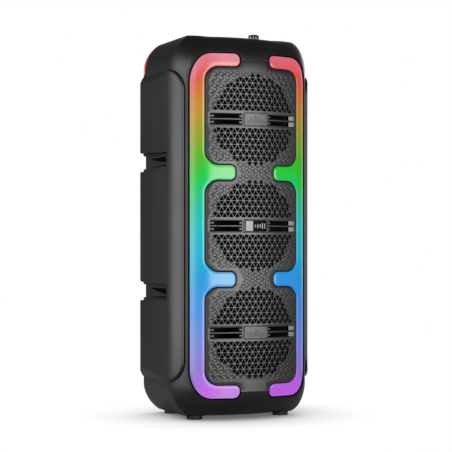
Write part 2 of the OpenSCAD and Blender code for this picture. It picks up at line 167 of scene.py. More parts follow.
# The stubs in the slots' ends: from and to, half height, corner radius, profile
INNER_STUB = (SLOT_X0 - 2, SLOT_X0 + 4)
OUTER_STUB = (SLOT_X1 - 5.5, SLOT_X1 + 2)
STUB_HALF_H = 1.9
STUB_R = 1.6
STUB_PROFILE = ((0, 2.9), (0, 1.2), (0.3, 0.8), (0.8, 0.6))
# (place across, depth) of the ramps in the right slots' outer ends
RAMP_STEPS = ((SLOT_X1 - 7, 2.7), (SLOT_X1 - 3.5, 1.5), (SLOT_X1, 0.3), (SLOT_X1 + 1.5, 0.3))

# Badges
BADGE_W = 35.0
BADGE_H = 18.4
BADGE_R = 2.4
BADGE_OUT = 2.2
# How far a badge's field is sunk, and its rim's (inset, how far in from the top) pairs
BADGE_SINK = 0.8
BADGE_RIM = ((0, 0.7), (0.2, 0.25), (0.6, 0.02), (1.0, 0.0), (1.3, 0.05), (1.5, 0.3), (1.6, 0.8))
# The bars' heights, and the pitch, half width and foot of the bars on the upper and lower badges
EQUALISER = (4.0, 7.0, 5.5, 10.0, 8.0, 5.0, 3.0)
BAR_PITCH = 3.6
BAR_HALF_W = 1.2
BAR_FOOT = -5.2
# The middle badge's glossy face is this much smaller; its mark is a block and five small bars
FACE_MARGIN = 1.7
MARK_SINK = 0.7
MARK_BLOCK = (-15.0, -4.4, -6.8, 6.8)
MARK_BARS = EQUALISER[:5]
MARK_X = -0.9
MARK_PITCH = 3.4
MARK_HALF_W = 0.65

# The volume knob
KNOB_H = 9.7
KNOB_RIBS = 9
KNOB_RIB = 1.2
KNOB_RIB_W = 2.9
RIB_ROOT = 0.8
# (height, how far in from the rim) up a rib
RIB_STEPS = ((1.0, 0.5), (1.6, 0.0), (KNOB_H - 1.5, 0.0), (KNOB_H - 0.7, 0.4), (KNOB_H - 0.3, 1.3))
SHAFT_R = 3
POINTER = ((-0.4, 2.0), (0.4, 2.0), (0.4, 4.2), (-0.4, 4.2))

# Rails and side panels
PART_Y = -18.0
RAIL_FRONT = -45.7
RAIL_BACK = PART_Y - 0.2
RAIL_DEPTH = RAIL_BACK - RAIL_FRONT
RAIL_OUT = 3.6
PANEL_OUT = 5.0
PANEL_H_SIDE = 210.5
# The side panels' bevels at the top and bottom, and how proud their ends are
BEVEL_H = 9.0
BEVEL_END = 0.6
# The side panels' gap behind the rails, how proud they stand there, and how fast they rise from there
PANEL_GAP = 1.2
FRONT_PROUD = 0.5
FRONT_SLOPE = 0.09
# The groove in the front housing round each rail: its depth, and (gap, share of the depth) across it
GROOVE = 1.1
GROOVE_STEPS = ((-1.2, 1.0), (0.0, 1.0), (0.7, 1.0), (1.1, 0.0))
# The grip notches: their middles, half heights at the back and at the front, and the front wall's depth
NOTCH_Z = 90.0
NOTCH_BACK = 13.0
NOTCH_FRONT = 10.0
NOTCH_WALL = 4.0
NOTCH_IN = 4.2
# Painted shadows in each notch, near-black sheets along the panel's edge and on the notch floor: outlines of
# (y, height over its middle), and the depth they lie at
NOTCH_SHADOWS = (
    (((-13.5, 9.9), (-13.5, 8.8), (79, 11.6), (79, 12.9)), 0.0),
    (((-8.8, 5.0), (-8.8, -4.0), (15, -2.0), (55, 2.8), (55, 4.8)), NOTCH_IN),
    (((-8.8, -5.4), (-8.8, -7.4), (52, -8.2), (52, -7.2)), NOTCH_IN),
)


def wrap(s, z, t=0.0):
    """The point at arc length s round the plan and height z, a depth t under the surface."""
    way = math.copysign(1, s)
    run = abs(s)
    if run <= BOW_S:
        a = run / FRONT_R
        x, y = (FRONT_R - t) * math.sin(a), FRONT_C - (FRONT_R - t) * math.cos(a)
    elif run <= CORNER_S:
        a = TURN + (run - BOW_S) / CORNER_R
        x, y = CORNER_X + (CORNER_R - t) * math.sin(a), CORNER_Y - (CORNER_R - t) * math.cos(a)
    else:
        x, y = HALF_W - t, CORNER_Y + run - CORNER_S
    return Vector((way * x, y, z))


def run_at(x, t=0.0):
    """The arc length at which the plan, a depth t under the surface, reaches x on the front."""
    side = abs(x)
    big, small = FRONT_R - t, CORNER_R - t
    if side <= big * math.sin(TURN):
        run = FRONT_R * math.asin(side / big)
    else:
        run = BOW_S + CORNER_R * (math.asin(min((side - CORNER_X) / small, 1)) - TURN)
    return math.copysign(run, x)


def run_at_y(y):
    """The arc length at which the plan reaches y on the corner arc or the side."""
    if y >= CORNER_Y:
        return CORNER_S + y - CORNER_Y
    return BOW_S + CORNER_R * (math.acos((CORNER_Y - y) / CORNER_R) - TURN)


def drop_at(s, z):
    """How far the rounded top and bottom edges have drawn the surface in, less so round the corners."""
    over = min(max(abs(z - MID_Z) - FLAT_Z, 0), EDGE_R)
    drop = EDGE_R - math.sqrt(EDGE_R * EDGE_R - over * over)
    part = min(max((abs(s) - BOW_S) / (CORNER_S - BOW_S), 0), 1)
    return drop * (1 - (1 - SIDE_SHARE) * part * part * (3 - 2 * part))


def on_shell(s, z, t=0.0):
    """The point of the cabinet's front at arc length s and height z, a depth t under the surface."""
    return wrap(s, z, drop_at(s, z) + t)


def face_run(x, z, t=0.0):
    """The arc length at which the front reaches x at height z, a depth t under the surface."""
    s = run_at(x, t)
    for _ in range(5):
        s = run_at(x, drop_at(s, z) + t)
    return s


def on_face(x, z, t=0.0):
    """The point of the cabinet's front at x and height z, a depth t under the surface."""
    return on_shell(face_run(x, z, t), z, t)


# ---- mesh helpers ----


class Shape:
    """Collects points in millimetres and faces, and turns them into one piece."""

    def __init__(self):
        self.points = []
        self.faces = []

    def add(self, points):
        start = len(self.points)
        self.points.extend(points)
        return list(range(start, len(self.points)))

    def bridge(self, a, b):
        self.faces += [(p, q, s, r) for (p, q), (r, s) in zip(sides_of(a), sides_of(b))]

    def stack(self, rings):
        for a, b in zip(rings, rings[1:]):
            self.bridge(a, b)

    def tube(self, rings):
        """Joins the rings and closes both ends."""
        self.stack(rings)
        self.faces += [tuple(rings[0]), tuple(rings[-1])]

    def fan(self, loop, middle):
        (centre,) = self.add([middle])
        self.faces += [(p, q, centre) for p, q in sides_of(loop)]

    def piece(self, name, slot, finish=None, body=CABINET, sharp=40):
        mesh = bpy.data.meshes.new(name)
        mesh.from_pydata([p * MM for p in self.points], [], self.faces)
        work = bmesh.new()
        work.from_mesh(mesh)
        bmesh.ops.remove_doubles(work, verts=work.verts, dist=2e-6)
        bmesh.ops.dissolve_degenerate(work, edges=work.edges, dist=1e-6)
        bmesh.ops.recalc_face_normals(work, faces=work.faces)
        work.to_mesh(mesh)
        work.free()
        mesh.polygons.foreach_set("use_smooth", [True] * len(mesh.polygons))
        mesh.set_sharp_from_angle(angle=math.radians(sharp))
        mesh.materials.append(MATERIALS[finish or slot])
        piece = bpy.data.objects.new(name, mesh)
        bpy.context.scene.collection.objects.link(piece)
        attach(piece, body)
        return piece


def polar(x, z, r, a):
    return x + r * math.cos(a), z + r * math.sin(a)


def arc(cx, cz, r, start, stop, step=15.0, chord=2.2):
    """Points on an arc, from one angle to the other in degrees, both ends included."""
    swing = abs(stop - start)
    count = max(2, math.ceil(swing / step), math.ceil(math.radians(swing) * r / chord))
    return [polar(cx, cz, r, math.radians(start + (stop - start) * i / count)) for i in range(count + 1)]


def sides_of(loop):
    """Each side of a closed loop as its two ends."""
    return zip(loop, [*loop[1:], loop[0]])


def cut(p, q, parts):
    """The points from p towards q, without q, that cut the line in so many parts."""
    return [(p[0] + (q[0] - p[0]) * k / parts, p[1] + (q[1] - p[1]) * k / parts) for k in range(parts)]


def tidy_line(points, spacing):
    """The open line with its doubled points dropped and its long parts divided."""
    out = []
    for p, q in zip(points, points[1:]):
        length = math.dist(p, q)
        if length >= 0.02:
            out += cut(p, q, max(1, round(length / spacing)))
    return out + [points[-1]]


def tidy_loop(points, spacing):
    """The same for a closed loop."""
    return tidy_line([*points, points[0]], spacing)[:-1]


def middle_of(corners):
    """The middle of a triangle."""
    return sum(p[0] for p in corners) / 3, sum(p[1] for p in corners) / 3


def area(loop):
    return sum(p[0] * q[1] - q[0] * p[1] for p, q in sides_of(loop)) / 2


def inset(loop, distance):
    """The loop moved inwards by a small distance along its own normals."""
    if not distance:
        return loop
    way = 1 if area(loop) > 0 else -1
    out = []
    for i, (x, z) in enumerate(loop):
        before, after = loop[i - 1], loop[(i + 1) % len(loop)]
        normal = Vector((before[1] - z, x - before[0])).normalized()
        middle = (normal + Vector((z - after[1], after[0] - x)).normalized()).normalized()
        reach = way * distance / max(middle.dot(normal), 0.5)
        out.append((x + middle.x * reach, z + middle.y * reach))
    return out


def inside(points, loop):
    """Which of the points lie inside the loop."""
    p = np.asarray(points, float)
    a = np.asarray(loop, float)
    b = np.roll(a, -1, axis=0)
    hit = np.zeros(len(p), bool)
    for (x0, z0), (x1, z1) in zip(a, b):
        if z0 == z1:
            continue
        spans = (z0 > p[:, 1]) != (z1 > p[:, 1])
        cross = x0 + (p[:, 1] - z0) * (x1 - x0) / (z1 - z0)
        hit ^= spans & (p[:, 0] < cross)
    return hit


def nearest(points, loop):
    """The distance from each point to the loop."""
    p = np.asarray(points, float)
    a = np.asarray(loop, float)
    best = np.full(len(p), 1e9)
    for p0, p1 in zip(a, np.roll(a, -1, axis=0)):
        d = p1 - p0
        t = np.clip(((p - p0) @ d) / max(d @ d, 1e-12), 0, 1)
        best = np.minimum(best, np.linalg.norm(p - (p0 + t[:, None] * d), axis=1))
    return best


def grid_inside(loop, spacing, margin):
    """Staggered grid points inside the loop that keep clear of it."""
    low, high = np.min(loop, axis=0), np.max(loop, axis=0)
    points = []
    for k, z in enumerate(np.arange(low[1], high[1], spacing * 0.87)):
        points += [(x, z) for x in np.arange(low[0] + (k % 2) * spacing / 2, high[0], spacing)]
    points = np.array(points)
    points = points[inside(points, loop)]
    return [tuple(p) for p in points[nearest(points, loop) > margin]]


def fill(shape, place, outer, holes=(), edges=(), extra=(), drop=None):
    """Fills the outer loop less its holes with triangles. Extra points and edges are kept,
    and drop takes triangles away by their middles."""
    points, links = [], []
    for loop in [outer, *holes]:
        links += sides_of(range(len(points), len(points) + len(loop)))
        points += loop
    for line in edges:
        ids = range(len(points), len(points) + len(line))
        links += zip(ids, ids[1:])
        points += line
    points += extra
    verts, _, faces, _, _, _ = delaunay_2d_cdt([Vector(p) for p in points], links, [], 0, 1e-5)
    middles = [((verts[a] + verts[b] + verts[c]) / 3)[:] for a, b, c in faces]
    keep = inside(middles, outer)
    for loop in holes:
        keep &= ~inside(middles, loop)
    if drop:
        keep &= np.array([not drop(x, z) for x, z in middles])
    ids = shape.add([place(v.x, v.y) for v in verts])
    for face, kept in zip(faces, keep):
        if kept:
            shape.faces.append(tuple(ids[i] for i in face))
    return ids, verts


def plate(shape, outline, profile, place, spacing=0, edges=()):
    """A closed plate that lies on a surface. The profile runs from the back edge to the front face as
    (inset, depth) pairs, and the edges are lines kept in the front face."""
    loops = [inset(outline, distance) for distance, _ in profile]
    depths = [depth for _, depth in profile]
    shape.stack([shape.add([place(x, z, d) for x, z in loop]) for loop, d in zip(loops, depths)])
    for loop, depth, lines in ((loops[-1], depths[-1], edges), (loops[0], depths[0], ())):
        extra = grid_inside(loop, spacing, spacing * 0.55) if spacing else ()
        fill(shape, lambda x, z: place(x, z, depth), loop, edges=lines, extra=extra)


def soft_edge(width, height, steps=5):
    """(inset, depth) pairs of a quarter ellipse from the side wall up to the face."""
    turns = [math.pi / 2 * i / steps for i in range(steps + 1)]
    return [(width * (1 - math.cos(a)), height * (1 - math.sin(a))) for a in turns]


def rounded(points, radii, step=12.0):
    """The polygon with its corners rounded, each by its own radius."""
    out = []
    for i, r in enumerate(radii):
        a, p, b = Vector(points[i - 1]), Vector(points[i]), Vector(points[(i + 1) % len(points)])
        u, v = (a - p).normalized(), (b - p).normalized()
        half = u.angle(v) / 2
        reach = r / math.tan(half)
        centre = p + (u + v).normalized() * (r / math.sin(half))
        start, stop = p + u * reach - centre, p + v * reach - centre
        a0 = math.atan2(start.y, start.x)
        turn = (math.atan2(stop.y, stop.x) - a0 + math.pi) % (2 * math.pi) - math.pi
        out += arc(centre.x, centre.y, r, math.degrees(a0), math.degrees(a0 + turn), step)
    return out


def soft_box(x0, x1, z0, z1, radius, spacing=3.0, step=30):
    """A rectangle's outline with rounded corners."""
    x0, x1 = sorted((x0, x1))
    z0, z1 = sorted((z0, z1))
    corners = [(x0, z0), (x1, z0), (x1, z1), (x0, z1)]
    return tidy_loop(rounded(corners, [radius] * 4, step), spacing)


# ---- materials ----

# Where the painted shade on the lattice starts, darkening it and dimming its shine into the housing's grey
# towards the panel's top end, from the middle of the face
SHADE_FADE_START = 198.0
# The scale of the slow changes in a surface, and how far they take its roughness
SLOW_SCALE = 14.0
ROUGH_SPREAD = 0.04


def grey(value):
    return value, value, value


HOUSING_GREY = grey(0.0048)
LATTICE_GREY = grey(0.014)


def new_material(name):
    material = bpy.data.materials.new(name)
    material.use_nodes = True
    return material, material.node_tree


def feed(tree, socket, value):
    """Links an output to the socket, or sets the socket to a number or a colour."""
    if isinstance(value, tuple):
        socket.default_value = (*value, 1)
    elif isinstance(value, (int, float)):
        socket.default_value = value
    else:
        tree.links.new(value, socket)


def feed_all(tree, node, inputs):
    for name, value in inputs.items():
        feed(tree, node.inputs[name], value)
    return node


def add_node(tree, kind, inputs):
    """A new shader node with its inputs fed by name."""
    return feed_all(tree, tree.nodes.new("ShaderNode" + kind), inputs)


def dress(tree, looks):
    """Feeds the shader's inputs by name."""
    feed_all(tree, tree.nodes["Principled BSDF"], looks)


def coordinates(tree, kind="Object"):
    return add_node(tree, "TexCoord", {}).outputs[kind]


def local_axes(tree):
    """The piece's own coordinates, by axis."""
    return add_node(tree, "SeparateXYZ", {"Vector": coordinates(tree)}).outputs


def noise(tree, scale, detail=4.0, rough=0.5):
    look = {"Vector": coordinates(tree), "Scale": scale, "Detail": detail, "Roughness": rough}
    return add_node(tree, "TexNoise", look).outputs["Fac"]


def ranged(tree, source, low, high, start=0.3, stop=0.7):
    """The source with its range from start to stop turned into low to high."""
    ends = {"Value": source, "From Min": start, "From Max": stop, "To Min": low, "To Max": high}
    return add_node(tree, "MapRange", ends).outputs["Result"]


def mixed(tree, factor, one, two):
    """A colour between two, each a colour or an output."""
    node = tree.nodes.new("ShaderNodeMix")
    node.data_type = "RGBA"
    return feed_all(tree, node, {"Factor": factor, "A": one, "B": two}).outputs["Result"]


def shaped(tree, source, stops):
    """Turns a value from 0 to 1 into another value or a colour through the stops."""
    ramp = tree.nodes.new("ShaderNodeValToRGB")
    tree.links.new(source, ramp.inputs["Fac"])
    bands = ramp.color_ramp.elements
    for i, (at, value) in enumerate(stops):
        band = bands[i] if i < 2 else bands.new(at)
        band.position = at
        band.color = (*(value if isinstance(value, tuple) else grey(value)), 1)
    return ramp.outputs["Color"]


def worked(tree, operation, one, two=0.0):
    """The result of an arithmetic operation on two values or outputs."""
    node = tree.nodes.new("ShaderNodeMath")
    node.operation = operation
    for socket, value in zip(node.inputs, (one, two)):
        feed(tree, socket, value)
    return node.outputs["Value"]


def moulded(name, colour, rough, grain=1100.0, depth=0.00004, vary=0.2, coat=0.0, metal=0.0, shine=0.5):
    """Moulded plastic, rubber or metal: fine grain, with slow changes in colour and roughness."""
    material, tree = new_material(name)
    slow = noise(tree, SLOW_SCALE)
    light = tuple(min(1, c * (1 + vary)) for c in colour)
    dark = tuple(c * (1 - vary) for c in colour)
    fine = noise(tree, grain, 2.0, 0.6)
    grain_bump = add_node(tree, "Bump", {"Height": fine, "Strength": 0.35, "Distance": depth})
    dress(tree, {
        "Base Color": mixed(tree, ranged(tree, slow, 0, 1), dark, light),
        "Roughness": ranged(tree, slow, rough - ROUGH_SPREAD, rough + ROUGH_SPREAD),
        "Metallic": metal,
        "Coat Weight": coat,
        "Coat Roughness": 0.12,
        "Specular IOR Level": shine,
        "Normal": grain_bump.outputs["Normal"],
    })
    return material


def lattice_plastic():
    """The lattice's plastic, with painted shade that darkens it into the housing's grey and dims its shine
    towards the panel's top end.
    """
    material = moulded("lattice_plastic", LATTICE_GREY, 0.34)
    tree = material.node_tree
    up = local_axes(tree)["Z"]
    # Painted shade: darker and less shiny towards the top end, where the real front turns up away from the
    # light
    painted_shade_fade = ranged(tree, up, 1, 0, (FACE_Z + SHADE_FADE_START) * MM, (FACE_Z + PANEL_H - 2) * MM)
    shade = ranged(tree, noise(tree, SLOW_SCALE), 0.8, 1.2)
    dress(tree, {
        "Base Color": mixed(tree, worked(tree, "MULTIPLY", painted_shade_fade, shade), HOUSING_GREY, LATTICE_GREY),
        "Specular IOR Level": ranged(tree, painted_shade_fade, 0.08, 0.62, 0, 1),
    })
    return material


def rear_glow():
    """The slim rear lights, brightest at their lower ends and out by two thirds of their height."""
    material = moulded("rear_glow", (0.5, 0.12, 0.03), 0.3)
    tree = material.node_tree
    up = local_axes(tree)["Z"]
    low, high = (end.z * MM for end in box_mm("rear_light_left"))
    shade = ranged(tree, up, 0, 1, low, high)
    dress(tree, {
        "Base Color": mixed(tree, shade, (0.35, 0.08, 0.02), (0.08, 0.02, 0.008)),
        "Emission Color": (0.9, 0.25, 0.07),
        "Emission Strength": ranged(tree, up, 1.3, 0.02, low, low * 0.35 + high * 0.65),
    })
    return material


def paint_nodes(materials):
    """Gives every CAD node the material of its slot."""
    slots = {s["node"]: s["material_slot"] for s in frame["record"]["subparts"]}
    for node, obj in frame["nodes"].items():
        for holder in obj.material_slots:
            holder.link = "OBJECT"
            holder.material = materials[slots[node]]


# The diffusers' hues by height from the middle of the face, as screen colours
GLOW = (
    (230, (228, 140, 164)), (212, (226, 116, 132)), (197, (224, 90, 84)), (180, (216, 116, 44)),
    (152, (194, 146, 36)), (125, (156, 162, 16)), (90, (84, 184, 20)), (60, (12, 204, 72)),
    (30, (6, 196, 148)), (0, (6, 194, 192)), (-35, (6, 184, 212)), (-75, (28, 160, 221)),
    (-110, (70, 150, 227)), (-150, (118, 144, 226)), (-190, (150, 128, 216)), (-230, (196, 108, 228)),
)


def linear(byte):
    c = byte / 255
    return c / 12.92 if c <= 0.04045 else ((c + 0.055) / 1.055) ** 2.4


def glowing_diffuser():
    """A lit diffuser whose hue runs down its height, a little ahead on the inner edge."""
    material, tree = new_material("diffuser_glow")
    axes = local_axes(tree)
    across = worked(tree, "ABSOLUTE", axes["X"])
    ahead = ranged(tree, across, -HUE_LEAD * MM, 0, (LENS_W - HUE_BAND) * MM, LENS_W * MM)
    top, bottom = GLOW[0][0], GLOW[-1][0]
    middle = FACE_Z - HUE_LEAD / 2
    place = worked(tree, "ADD", axes["Z"], ahead)
    place = ranged(tree, place, 1, 0, (middle + bottom) * MM, (middle + top) * MM)
    stops = [((top - height) / (top - bottom), tuple(linear(c) for c in colour)) for height, colour in GLOW]
    # Painted shade: the right diffuser, facing away from the key light on the left, glows in darker, deeper
    # colours
    depth = ranged(tree, axes["X"], 1, RIGHT_SHADE_GAMMA, -0.01, 0.01)
    hue = add_node(tree, "Gamma", {"Color": shaped(tree, place, stops), "Gamma": depth}).outputs["Color"]
    # Painted sheen: the left diffuser's glow is mixed towards white, for the key light's reflection
    painted_sheen = shaped(tree, ranged(tree, axes["X"], 0, 1, -LENS_W * MM, 0), SHEEN_STOPS)
    edge = ranged(tree, across, EMISSION, EMISSION * EDGE_SHARE, (LENS_W - 16) * MM, (LENS_W - 4) * MM)
    dress(tree, {
        "Base Color": mixed(tree, 0.06, (0, 0, 0), hue),
        "Emission Color": mixed(tree, painted_sheen, hue, grey(0.8)),
        "Emission Strength": edge,
        "Roughness": 0.2,
        "Specular IOR Level": 0.4,
    })
    return material


MATERIALS = {
    "housing": moulded("housing_plastic", HOUSING_GREY, 0.36),
    "side_rail": moulded("rail_plastic", grey(0.009), 0.34),
    "lattice": lattice_plastic(),
    "diffuser": glowing_diffuser(),
    "light_pcb": moulded("light_board", (0.7, 0.7, 0.68), 0.5),
    # Near-black and almost matte: painted shadow for the gaps round the diffusers and for the side notches
    "shadow_sheet": moulded("shadow_sheet_plastic", grey(0.0012), 0.8, shine=0.03),
    "ramp": moulded("ramp_plastic", grey(0.12), 0.4, vary=0.1),
    "badge_plain": moulded("badge_plastic", (0.02, 0.02, 0.021), 0.34, shine=0.6),
    "badge_gloss": moulded("badge_gloss", grey(0.002), 0.15, depth=0.000004, shine=0.015),
    "badge_inlay": moulded("badge_silver", (0.3, 0.3, 0.31), 0.55, shine=0.3),
    "inner_board": moulded("fibreboard", (0.012, 0.011, 0.010), 0.8, shine=0.1),
    # The basket, cone, dust cap and surround are black parts, painted darker still as shade inside the cabinet
    # behind the lattice
    "basket": moulded("basket_steel", grey(0.01), 0.6, shine=0.1),
    "magnet": moulded("ferrite", (0.05, 0.05, 0.055), 0.55, metal=0.5),
    "cone": moulded("cone_paper", grey(0.004), 0.9, grain=600.0, depth=0.0001, shine=0.05),
    "dust_cap": moulded("dust_cap_paper", grey(0.006), 0.6, shine=0.1),
    "surround": moulded("surround_rubber", grey(0.004), 0.7, shine=0.1),
    "spider": moulded("spider_cloth", (0.25, 0.17, 0.07), 0.9, grain=900.0, depth=0.0002),
    "gloss_black": moulded("gloss_plastic", grey(0.006), 0.15, depth=0.000004, shine=0.3),
    "knob_metal": moulded("knob_chrome", (0.85, 0.85, 0.86), 0.25, depth=0.000006, metal=1.0),
    "encoder_metal": moulded("encoder_steel", grey(0.5), 0.35, metal=1.0),
    "circuit_board": moulded("circuit_green", (0.01, 0.08, 0.03), 0.4),
    "button": moulded("button_rubber", (0.02, 0.02, 0.021), 0.5),
    "battery_wrap": moulded("battery_wrap", (0.02, 0.12, 0.35), 0.35),
    "inner_plastic": moulded("inner_plastic", grey(0.05), 0.5),
    "port_tube": moulded("port_plastic", grey(0.008), 0.35),
    "rocker_red": moulded("rocker_red", (0.35, 0.01, 0.008), 0.25, depth=0.00001, coat=0.3),
    "socket_black": moulded("socket_plastic", grey(0.01), 0.35),
    "rear_glow": rear_glow(),
    "foot_rubber": moulded("foot_rubber", grey(0.008), 0.55),
    "screw_steel": moulded("screw_steel", (0.08, 0.08, 0.085), 0.35, metal=0.9),
}
paint_nodes(MATERIALS)

# ---- outlines on the front face, as seen from the front and measured from its middle ----


def inner_edge(gap):
    """The right diffuser's inner edge from the top tongue's tip down to the middle, grown by a gap."""
    middle = PITCH / 2
    low = middle - MID_TONGUE_H / 2 - gap
    high = middle + MID_TONGUE_H / 2 + gap
    end = LENS_H - END_TONGUE_H - gap
    web_r, tip_r = LOBE_R - gap, TIP_R + gap
    web_x = LOBE_W - gap - web_r
    return [
        *arc(NECK_END_W + TIP_R, end + tip_r, tip_r, 180, 270),
        *arc(web_x, end - web_r, web_r, 90, 0),
        *arc(web_x, high + web_r, web_r, 0, -90),
        *arc(NECK_W + TIP_R, high - tip_r, tip_r, 90, 180),
        *arc(NECK_W + TIP_R, low + tip_r, tip_r, 180, 270),
        *arc(web_x, low - web_r, web_r, 90, 0),
    ]


def with_mirror_below(points):
    return points + [(x, -z) for x, z in reversed(points)]


def outer_corner(out, up):
    """The diffuser's large outer corner from the side up to the top, moved out and up."""
    wide, tall = LENS_EDGE + out - CORNER_START_X, LENS_H + up - CORNER_START_Z
    points = []
    for k in range(25):
        a = math.pi / 2 * k / 24
        across, rise = max(math.cos(a), 0) ** CORNER_POWER, math.sin(a) ** CORNER_POWER
        points.append((CORNER_START_X + wide * across, CORNER_START_Z + tall * rise))
    return points


def diffuser_outline(side, out, gap):
    """A diffuser's edge, moved out along its outer side and grown by a gap along the rest."""
    upper = [
        *outer_corner(out, gap),
        *arc(NECK_END_W + TIP_R, LENS_H - TIP_R, TIP_R + gap, 90, 180),
        *inner_edge(gap),
    ]
    return [(side * x, FACE_Z + z) for x, z in tidy_loop(with_mirror_below(upper), 3.0)]


def panel_outline():
    """The lattice panel's edge, with arc length along the bow in place of x."""
    right = with_mirror_below([(NECK_END_W - LENS_GAP, PANEL_H), *inner_edge(LENS_GAP)])
    left = [(-x, z) for x, z in reversed(right)]
    loop = tidy_loop(right + left, 2.2)
    return [(run_at(x), z) for x, z in loop]


# ---- the diffusers, each over a near-black sheet of painted shade in the gap round it ----


def add_diffuser(side, name):
    shape, gap_shadow = Shape(), Shape()
    profile = [(0, LENS_T), *soft_edge(CROWN_W, CROWN_H, 7)]
    plate(shape, diffuser_outline(side, -LENS_CLEAR, 0), profile, on_face, spacing=3.5)
    piece = shape.piece(name + "_skin", "diffuser", sharp=50)
    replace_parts(piece, name)
    # Painted shade: a near-black sheet under the gap round the diffuser
    outline = diffuser_outline(side, GAP_SHADOW_OUT, LENS_GAP - 0.05)
    plate(gap_shadow, outline, [(0, LENS_T - 0.1), (0, GAP_SHADOW_DEPTH)], on_face)
    gap_shadow.piece(name + "_gasket", "housing", "shadow_sheet")


# ---- the lattice panel ----


def lattice_cells():
    """Every triangle of the lattice as (row, three corners), in arc length and height."""
    for row in range(-LAST_ROW, LAST_ROW + 1):
        low, high = (row - 0.5) * ROW, (row + 0.5) * ROW
        for up in (True, False):
            shift = ((row - 1 if up else row) % 2) * SIDE / 2
            base, tip = (low, high) if up else (high, low)
            for j in range(-10, 10):
                x = shift + j * SIDE
                yield row, ((x, base), (x + SIDE, base), (x + SIDE / 2, tip))


def kept_cells(outline):
    """The lattice cells that lie clear of the panel's edge and of the bars, as (corners, open)."""
    cells = [c for row, c in lattice_cells() if min(abs(row - i * ROWS_PER_DRIVER) for i in DRIVERS) > 1]
    points = np.array(cells).reshape(-1, 2)
    clear = inside(points, outline) & (nearest(points, outline) > CELL_MARGIN)
    kept = []
    for corners, good in zip(cells, clear.reshape(-1, 3).all(1)):
        if good:
            x, z = middle_of(corners)
            kept.append((corners, min(math.hypot(x, z - i * PITCH) for i in DRIVERS) < FIELD_R))
    return kept


def round_triangle(corners, rib, radius):
    """A rounded triangle inside a lattice cell with four points for each of the cell's sides."""
    middle = middle_of(corners)
    core = math.dist(corners[0], middle) - rib - 2 * radius
    heads = [math.atan2(z - middle[1], x - middle[0]) for x, z in corners]
    turn = math.copysign(1, (heads[1] - heads[0] + math.pi) % (2 * math.pi) - math.pi)
    out = []
    for head, after in sides_of(heads):
        side = head + turn * math.radians(60)
        p, q = polar(*middle, core, head), polar(*middle, core, after)
        start, stop = polar(*p, radius, side), polar(*q, radius, side)
        out += [polar(*p, radius, head), *cut(start, stop, 2), stop]
    return out


def on_panel(s, z, t=0.0):
    return wrap(s, FACE_Z + z, t)


def add_cell(shape, corners, is_open):
    rim = [point for a, b in sides_of(corners) for point in cut(a, b, CELL_CUTS)]
    front = shape.add([on_panel(s, z) for s, z in rim])
    back = shape.add([on_panel(s, z, PANEL_T) for s, z in rim])
    rings = [front]
    for rib, radius, depth in OPEN_STEPS if is_open else BLIND_STEPS:
        rings.append(shape.add([on_panel(s, z, depth) for s, z in round_triangle(corners, rib, radius)]))
    shape.stack(rings)
    if is_open:
        shape.bridge(rings[-1], back)
        return
    shape.fan(rings[-1], on_panel(*middle_of(corners), BLIND_MIDDLE))
    shape.fan(back, on_panel(*middle_of(corners), PANEL_T))


def slot_sites():
    """The four slots of every driver's bar as (driver, side, up or down)."""
    return itertools.product(DRIVERS, (-1, 1), (-1, 1))


def slot_loops():
    """The two slots each side of every badge, in arc length and height."""
    loops = []
    for driver, side, up in slot_sites():
        x0, x1 = side * run_at(SLOT_X0), side * run_at(SLOT_X1)
        z0, z1 = (driver * PITCH + up * z for z in (SLOT_Z0, SLOT_Z1))
        loops.append(soft_box(x0, x1, z0, z1, SLOT_R))
    return loops


def add_ramp(shape, z):
    """The sloping end wall of a slot on the right."""
    half, back = (SLOT_Z1 - SLOT_Z0) / 2, PANEL_T - 0.1
    rings = []
    for x, depth in RAMP_STEPS:
        s = run_at(x)
        ring = [(z - half, depth), (z + half, depth), (z + half, back), (z - half, back)]
        rings.append(shape.add([on_panel(s, h, d) for h, d in ring]))
    shape.tube(rings)


def add_slot_ends():
    """Rounded stubs in the slots' ends, and ramps in the outer ends of those on the right."""
    stubs, ramps = Shape(), Shape()
    for driver, side, up in slot_sites():
        z = driver * PITCH + up * (SLOT_Z0 + SLOT_Z1) / 2
        if side > 0:
            add_ramp(ramps, z)
        for ends in (INNER_STUB,) if side > 0 else (OUTER_STUB, INNER_STUB):
            x0, x1 = (side * run_at(x) for x in ends)
            loop = soft_box(x0, x1, z - STUB_HALF_H, z + STUB_HALF_H, STUB_R)
            plate(stubs, loop, STUB_PROFILE, on_panel)
    ramps.piece("slot_ramps", "lattice", "ramp")
    stubs.piece("slot_stubs", "lattice")


def cell_borders(cells):
    """The sides that only one of the kept cells has, cut as the cells' edges are."""
    pairs = {}
    for corners, _ in cells:
        for a, b in sides_of(corners):
            key = frozenset((round(x, 2), round(z, 2)) for x, z in (a, b))
            pairs.setdefault(key, []).append((a, b))
    return [[*cut(*found[0], CELL_CUTS), found[0][1]] for found in pairs.values() if len(found) == 1]


def cell_test(cells):
    """A test of whether a point lies in one of the kept cells."""
    taken = {tuple(round(v, 1) for v in middle_of(corners)) for corners, _ in cells}

    def in_cell(x, z):
        row = math.floor(z / ROW + 0.5)
        part = z / ROW + 0.5 - row
        shift = (row - 1) % 2 / 2
        across = x / SIDE - shift - part / 2
        column = math.floor(across)
        if across - column <= 1 - part:
            middle = ((shift + column + 0.5) * SIDE, (row - 1 / 6) * ROW)
        else:
            middle = ((shift + column + 1) * SIDE, (row + 1 / 6) * ROW)
        return tuple(round(v, 1) for v in middle) in taken
    return in_cell


